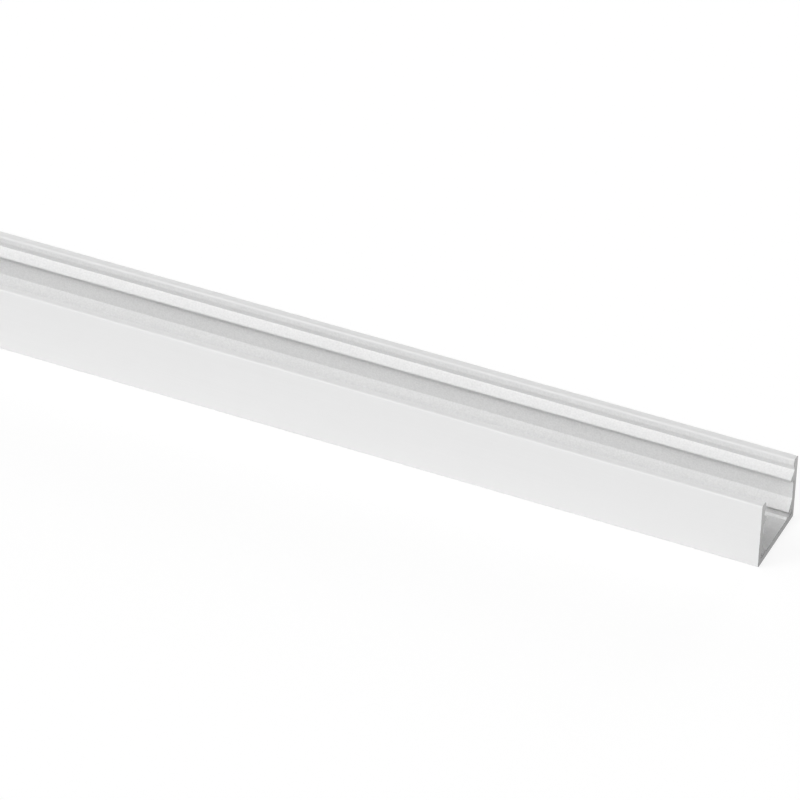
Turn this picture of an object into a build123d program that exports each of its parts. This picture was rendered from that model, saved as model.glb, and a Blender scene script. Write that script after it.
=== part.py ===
from build123d import *
import os

# Bar: a straight extruded channel, open at the top, length along X, base on Z = 0
bar_length = 1000.0
overall_width = 18.0
overall_height = 14.0
wall_thickness = 1.2
base_thickness = 1.3
outer_edge_radius = 0.4

# Rim: the thicker head of each wall, undercut below down to the neck
rim_thickness = 1.8
rim_height = 1.35
rim_round_radius = 0.4
rim_foot_radius = 0.2

# Neck: the line on the wall where the undercut of the rim meets the slope of the cover tooth
neck_drop = 1.35

# Cover tooth: the upper barb that a snap-in cover hooks under, a wedge with a round nose,
# sized to its sharp point, its underside falling by the heel drop towards the wall
cover_tooth_reach = 1.95
cover_tooth_drop = 1.65
cover_tooth_heel_drop = 0.55
cover_tooth_radius = 0.4

# Strip tooth: the lower barb, with a low slot between its flat underside and the floor
strip_slot_height = 1.05
strip_tooth_reach = 1.4
strip_tooth_rise = 2.2
strip_tooth_nose = 0.25
strip_tooth_radius = 0.1

# Locating ribs: two low ridges on the floor, each a set gap from its wall, with the bed for
# the light strip between them
rib_wall_gap = 1.45
rib_height = 0.5
rib_width = 0.9
rib_crest_radius = 0.2

# Places worked out from the sizes above, for the wall on the +Y side
outer_face_y = overall_width / 2
inner_face_y = outer_face_y - wall_thickness
rim_face_y = outer_face_y - rim_thickness
cover_point_y = inner_face_y - cover_tooth_reach
strip_tip_y = inner_face_y - strip_tooth_reach
rib_outer_foot_y = inner_face_y - rib_wall_gap
rib_crest_y = rib_outer_foot_y - rib_width / 2
rib_inner_foot_y = rib_outer_foot_y - rib_width

floor_z = base_thickness
rim_foot_z = overall_height - rim_height
neck_z = rim_foot_z - neck_drop
cover_point_z = neck_z - cover_tooth_drop
strip_slot_top_z = floor_z + strip_slot_height
strip_nose_top_z = strip_slot_top_z + strip_tooth_nose

# Corners of the section that are rounded, as (y, z)
outer_corners = [(outer_face_y, 0), (outer_face_y, overall_height)]
rim_shoulder = [(rim_face_y, overall_height)]
rim_foot = [(rim_face_y, rim_foot_z)]
cover_point = [(cover_point_y, cover_point_z)]
strip_nose = [(strip_tip_y, strip_nose_top_z), (strip_tip_y, strip_slot_top_z)]
rib_crest = [(rib_crest_y, floor_z + rib_height)]


def half_outline():
    """Half of the section with sharp corners: base, wall and teeth of the +Y side."""
    outline = Polyline(
        (0, 0),
        *outer_corners,
        *rim_shoulder,
        *rim_foot,
        (inner_face_y, neck_z),
        *cover_point,
        (inner_face_y, cover_point_z - cover_tooth_heel_drop),
        (inner_face_y, strip_nose_top_z + strip_tooth_rise),
        *strip_nose,
        (inner_face_y, strip_slot_top_z),
        (inner_face_y, floor_z),
        (rib_outer_foot_y, floor_z),
        *rib_crest,
        (rib_inner_foot_y, floor_z),
        (0, floor_z),
        close=True,
    )
    return make_face(outline)


def round_corners(face, corners, radius):
    """Round the corners of the face that lie at the given points."""
    picked = [face.vertices().sort_by_distance((y, z, 0))[0] for y, z in corners]
    return fillet(picked, radius)


def profile_section():
    """Full section: the half outline with its corners rounded, mirrored to the -Y side."""
    half = half_outline()
    half = round_corners(half, outer_corners, outer_edge_radius)
    half = round_corners(half, rim_shoulder, rim_round_radius)
    half = round_corners(half, rim_foot, rim_foot_radius)
    half = round_corners(half, cover_point, cover_tooth_radius)
    half = round_corners(half, strip_nose, strip_tooth_radius)
    half = round_corners(half, rib_crest, rib_crest_radius)
    return half + mirror(half, about=Plane.YZ)


def profile():
    """The whole bar, extruded both ways from the middle of its length."""
    section = Plane.YZ * profile_section()
    return extrude(section, amount=bar_length / 2, both=True)


os.makedirs("parts", exist_ok=True)
export_step(profile(), "parts/profile.step")
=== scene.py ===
import math

import bpy
from mathutils import Matrix, Vector


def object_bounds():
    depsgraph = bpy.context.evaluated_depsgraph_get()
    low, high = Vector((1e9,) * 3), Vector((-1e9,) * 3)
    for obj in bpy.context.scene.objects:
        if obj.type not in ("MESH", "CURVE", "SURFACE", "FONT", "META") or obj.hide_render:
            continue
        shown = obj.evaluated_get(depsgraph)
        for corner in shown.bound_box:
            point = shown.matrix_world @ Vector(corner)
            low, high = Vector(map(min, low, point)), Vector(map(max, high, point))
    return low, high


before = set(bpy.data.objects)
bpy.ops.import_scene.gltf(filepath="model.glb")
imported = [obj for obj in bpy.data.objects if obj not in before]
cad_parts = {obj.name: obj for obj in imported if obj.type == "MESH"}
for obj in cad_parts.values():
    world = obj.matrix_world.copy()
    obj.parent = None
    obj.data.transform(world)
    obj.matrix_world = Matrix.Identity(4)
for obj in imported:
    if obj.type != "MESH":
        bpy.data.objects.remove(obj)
cad_low, cad_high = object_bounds()

# Sizes in metres, taken from the bar itself
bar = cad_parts["profile"]
end_x = cad_high.x
half_width = cad_high.y
bar_top = cad_high.z

# Noise: the range that it mostly stays in, and how much fine detail it has
noise_low = 0.3
noise_high = 0.7
plain_detail = 2.0
burr_detail = 3.0
grain_detail = 4.0

# White powder coat
coat_white = 0.86
coat_mottle = 0.042
coat_streak = 0.006
coat_roughness = 0.48
coat_roughness_change = 0.04
peel_size = 0.0009
peel_depth = 0.000012
grain_size = 0.00035
grain_depth = 0.00002
die_line_pitch = 0.00025
die_line_length = 0.06
die_line_depth = 0.000004
channel_inset = 0.0003

# Bare aluminium of the saw cuts, its grey painted darker towards the foot as shade
metal_grey_top = 0.46
metal_grey_foot_painted_shade = 0.32
metal_line_contrast = 0.07
metal_roughness = 0.42
metal_roughness_change = 0.08
cut_skin = 0.00002
burr_width = 0.0001
burr_size = 0.0004
blade_radius = 0.15
saw_line_pitch = 0.00016
saw_line_depth = 0.000012

# Floor
floor_half = 3.0
floor_white = 0.8
floor_roughness = 0.9
floor_glow = 0.86
floor_shade = 0.18

# Lamps: heading from the front of the bar towards its right, height and strength
studio_glow = 0.01
lamp_softness = math.radians(25)
lamps = {
    "key_lamp": (-50, 38, 1.30),
    "front_lamp": (-25, 38, 0.44),
    "right_lamp": (30, 38, 0.54),
    "front_low_lamp": (0, 12, 0.55),
    "left_high_lamp": (-75, 68, 0.26),
    "back_high_lamp": (180, 68, 0.27),
    "back_low_lamp": (180, 12, 1.13),
    "back_left_lamp": (-145, 12, 1.00),
}

# Camera: a long lens that looks down on the right end of the bar from the front right
aim_from_end = 0.0770
aim_height = 0.007
aim_depth = 0.00104
camera_distance = 1.114
camera_heading = math.radians(22.98)
camera_down = math.radians(35.49)
camera_roll = math.radians(2.07)
lens_mm = 265.5
sensor_mm = 36.0
camera_reach = 20.0


def add_node(material, kind, **settings):
    """A new node of a material, with the given settings."""
    made = material.node_tree.nodes.new(kind)
    for name, value in settings.items():
        setattr(made, name, value)
    return made


def join(material, source, target):
    """Link an output socket to an input socket."""
    material.node_tree.links.new(source, target)


def math_node(material, operation, first, second=None, third=None):
    """A Math node with each input linked or set, returning its output."""
    made = add_node(material, "ShaderNodeMath", operation=operation)
    for place, value in enumerate((first, second, third)):
        if isinstance(value, (int, float)):
            made.inputs[place].default_value = value
        elif value is not None:
            join(material, value, made.inputs[place])
    return made.outputs[0]


def noise(material, vector, stretch, detail=plain_detail):
    """A 3-D noise on object coordinates, one grain per stretch along each axis."""
    placing = add_node(material, "ShaderNodeMapping")
    placing.inputs["Scale"].default_value = [1 / size for size in stretch]
    join(material, vector, placing.inputs["Vector"])
    made = add_node(material, "ShaderNodeTexNoise")
    made.inputs["Scale"].default_value = 1.0
    made.inputs["Detail"].default_value = detail
    join(material, placing.outputs["Vector"], made.inputs["Vector"])
    return made.outputs["Fac"]


def ramp(material, value, low, high, out_low=0.0, out_high=1.0):
    """Value mapped from low..high to out_low..out_high and held there beyond."""
    made = add_node(material, "ShaderNodeMapRange")
    join(material, value, made.inputs["Value"])
    made.inputs["From Min"].default_value = low
    made.inputs["From Max"].default_value = high
    made.inputs["To Min"].default_value = out_low
    made.inputs["To Max"].default_value = out_high
    return made.outputs["Result"]


def mix_value(material, share, first, second):
    """Two numbers mixed by share, each linked or set."""
    made = add_node(material, "ShaderNodeMix", data_type="FLOAT")
    join(material, share, made.inputs["Factor"])
    for socket, value in ((made.inputs[2], first), (made.inputs[3], second)):
        if isinstance(value, (int, float)):
            socket.default_value = value
        else:
            join(material, value, socket)
    return made.outputs[0]


def spread(material, value, middle, change):
    """A noise laid out as middle less change to middle plus change."""
    return ramp(material, value, noise_low, noise_high, middle - change, middle + change)


def bump(material, height, depth, below=None):
    """A bump of the given depth in metres, laid over the normal below."""
    made = add_node(material, "ShaderNodeBump")
    made.inputs["Strength"].default_value = 1.0
    made.inputs["Distance"].default_value = depth
    join(material, height, made.inputs["Height"])
    if below is not None:
        join(material, below, made.inputs["Normal"])
    return made.outputs["Normal"]


def tone(grey):
    """A neutral colour."""
    return (grey, grey, grey, 1.0)


def coated_bar_material():
    """White powder coat, rougher inside the channel, with bare sawn metal on both ends, the
    metal's grey painted darker towards the foot as shade.
    """
    material = bpy.data.materials.new("white_powder_coat_with_sawn_ends")
    material.use_nodes = True
    shader = material.node_tree.nodes["Principled BSDF"]
    place = add_node(material, "ShaderNodeTexCoord").outputs["Object"]
    axes = add_node(material, "ShaderNodeSeparateXYZ")
    join(material, place, axes.inputs["Vector"])
    x, y, z = axes.outputs
    along = math_node(material, "ABSOLUTE", x)
    across = math_node(material, "ABSOLUTE", y)

    # Where the paint stops: the sawn face, and a ragged line of burr round its edge
    ragged = noise(material, place, (burr_size,) * 3, detail=burr_detail)
    edge = math_node(material, "MULTIPLY_ADD", ragged, -burr_width, end_x - cut_skin)
    bare = math_node(material, "GREATER_THAN", along, edge)

    # Inside the channel the coat is thinner and shows more grain
    side_edge = half_width - channel_inset
    top_edge = bar_top - channel_inset
    clear_of_side = ramp(material, across, side_edge, side_edge - channel_inset)
    clear_of_top = ramp(material, z, top_edge, top_edge - channel_inset)
    inside = math_node(material, "MULTIPLY", clear_of_side, clear_of_top)

    peel = noise(material, place, (peel_size,) * 3)
    grain = noise(material, place, (grain_size,) * 3, detail=grain_detail)
    die_lines = noise(material, place, (die_line_length, die_line_pitch, die_line_pitch))

    # Saw lines: arcs about the hub of the blade, above the bar
    hub_y = math_node(material, "ADD", y, half_width)
    hub_z = math_node(material, "SUBTRACT", z, blade_radius)
    hub_z_squared = math_node(material, "MULTIPLY", hub_z, hub_z)
    reach_squared = math_node(material, "MULTIPLY_ADD", hub_y, hub_y, hub_z_squared)
    reach = math_node(material, "SQRT", reach_squared)
    saw = add_node(material, "ShaderNodeTexNoise", noise_dimensions="1D")
    saw.inputs["Detail"].default_value = plain_detail
    saw.inputs["Scale"].default_value = 1 / saw_line_pitch
    join(material, reach, saw.inputs["W"])
    saw_lines = saw.outputs["Fac"]

    # Colour
    mottle = math_node(material, "MULTIPLY", spread(material, grain, 0.0, coat_mottle), inside)
    coat = math_node(material, "ADD", mottle, spread(material, die_lines, coat_white, coat_streak))
    # Painted shade: the bare metal's grey runs from lighter at the top to darker at the foot,
    # standing in for the shaded floor it reflects
    metal_grey_with_painted_shade = ramp(material, z, 0.0, bar_top, metal_grey_foot_painted_shade, metal_grey_top)
    metal_lines = spread(material, saw_lines, 0.0, metal_line_contrast)
    metal = math_node(material, "ADD", metal_grey_with_painted_shade, metal_lines)
    shown = mix_value(material, bare, coat, metal)
    grey = add_node(material, "ShaderNodeCombineColor")
    for socket in grey.inputs:
        join(material, shown, socket)
    join(material, grey.outputs["Color"], shader.inputs["Base Color"])
    join(material, bare, shader.inputs["Metallic"])

    # Gloss
    coat_gloss = spread(material, peel, coat_roughness, coat_roughness_change)
    metal_gloss = spread(material, saw_lines, metal_roughness, metal_roughness_change)
    gloss = mix_value(material, bare, coat_gloss, metal_gloss)
    join(material, gloss, shader.inputs["Roughness"])

    # Relief
    painted = math_node(material, "SUBTRACT", 1.0, bare)
    painted_inside = math_node(material, "MULTIPLY", inside, painted)
    coat_peel = math_node(material, "MULTIPLY", peel, painted)
    coat_grain = math_node(material, "MULTIPLY", grain, painted_inside)
    coat_lines = math_node(material, "MULTIPLY", die_lines, painted)
    cut_lines = math_node(material, "MULTIPLY", saw_lines, bare)
    relief = bump(material, coat_peel, peel_depth)
    relief = bump(material, coat_grain, grain_depth, relief)
    relief = bump(material, coat_lines, die_line_depth, relief)
    relief = bump(material, cut_lines, saw_line_depth, relief)
    join(material, relief, shader.inputs["Normal"])
    return material


def floor_material():
    """Matt white floor that a direct view shows as white, with the shade of the bar on it."""
    material = bpy.data.materials.new("white_studio_floor")
    material.use_nodes = True
    nodes = material.node_tree.nodes
    matt = nodes["Principled BSDF"]
    matt.inputs["Base Color"].default_value = tone(floor_white)
    matt.inputs["Roughness"].default_value = floor_roughness
    shaded = add_node(material, "ShaderNodeBsdfDiffuse")
    shaded.inputs["Color"].default_value = tone(floor_shade)
    glow = add_node(material, "ShaderNodeEmission")
    glow.inputs["Strength"].default_value = floor_glow
    seen = add_node(material, "ShaderNodeAddShader")
    join(material, shaded.outputs[0], seen.inputs[0])
    join(material, glow.outputs[0], seen.inputs[1])
    rays = add_node(material, "ShaderNodeLightPath").outputs
    mirrored = math_node(material, "MAXIMUM", rays["Is Glossy Ray"], rays["Is Transmission Ray"])
    looked_at = math_node(material, "MAXIMUM", rays["Is Camera Ray"], mirrored)
    choice = add_node(material, "ShaderNodeMixShader")
    join(material, looked_at, choice.inputs["Fac"])
    join(material, matt.outputs[0], choice.inputs[1])
    join(material, seen.outputs[0], choice.inputs[2])
    join(material, choice.outputs[0], nodes["Material Output"].inputs["Surface"])
    return material


def add_floor():
    """A wide plane under the bar."""
    bpy.ops.object.select_all(action="DESELECT")
    bpy.ops.mesh.primitive_plane_add(size=2 * floor_half, location=(0, 0, 0))
    floor = bpy.context.object
    floor.name = "studio_floor"
    floor.data.materials.append(floor_material())


def add_world():
    """Pale surround: plain white to a direct view, a low even glow to everything else."""
    world = bpy.data.worlds.new("pale_studio")
    world.use_nodes = True
    nodes = world.node_tree.nodes
    links = world.node_tree.links
    rays = nodes.new("ShaderNodeLightPath")
    seen = nodes.new("ShaderNodeMath")
    seen.operation = "MAXIMUM"
    links.new(rays.outputs["Is Camera Ray"], seen.inputs[0])
    links.new(rays.outputs["Is Transmission Ray"], seen.inputs[1])
    level = nodes.new("ShaderNodeMapRange")
    level.inputs["To Min"].default_value = studio_glow
    links.new(seen.outputs[0], level.inputs["Value"])
    surround = nodes["Background"]
    surround.inputs["Color"].default_value = tone(1.0)
    links.new(level.outputs["Result"], surround.inputs["Strength"])
    bpy.context.scene.world = world


def add_lamp(name, heading, height, strength):
    """A soft lamp far away in the given direction."""
    lamp = bpy.data.lights.new(name, "SUN")
    lamp.energy = strength
    lamp.angle = lamp_softness
    lamp_object = bpy.data.objects.new(name, lamp)
    bpy.context.collection.objects.link(lamp_object)
    heading = math.radians(heading)
    height = math.radians(height)
    level = math.cos(height)
    towards = Vector((math.sin(heading) * level, -math.cos(heading) * level, math.sin(height)))
    lamp_object.rotation_euler = towards.to_track_quat("Z", "Y").to_euler()


def add_camera():
    """The camera, turned about the point it looks at."""
    lens = bpy.data.cameras.new("camera")
    lens.lens = lens_mm
    lens.sensor_width = sensor_mm
    lens.clip_end = camera_reach
    camera = bpy.data.objects.new("camera", lens)
    bpy.context.collection.objects.link(camera)
    aim = Matrix.Translation((end_x - aim_from_end, aim_depth, aim_height))
    heading = Matrix.Rotation(camera_heading, 4, "Z")
    tilt = Matrix.Rotation(math.pi / 2 - camera_down, 4, "X")
    roll = Matrix.Rotation(camera_roll, 4, "Z")
    back = Matrix.Translation((0, 0, camera_distance))
    camera.matrix_world = aim @ heading @ tilt @ roll @ back
    bpy.context.scene.camera = camera


bar.material_slots[0].material = coated_bar_material()
add_floor()
add_world()
for lamp_name, (lamp_heading, lamp_height, lamp_strength) in lamps.items():
    add_lamp(lamp_name, lamp_heading, lamp_height, lamp_strength)
add_camera()
bpy.context.scene.view_settings.view_transform = "Standard"
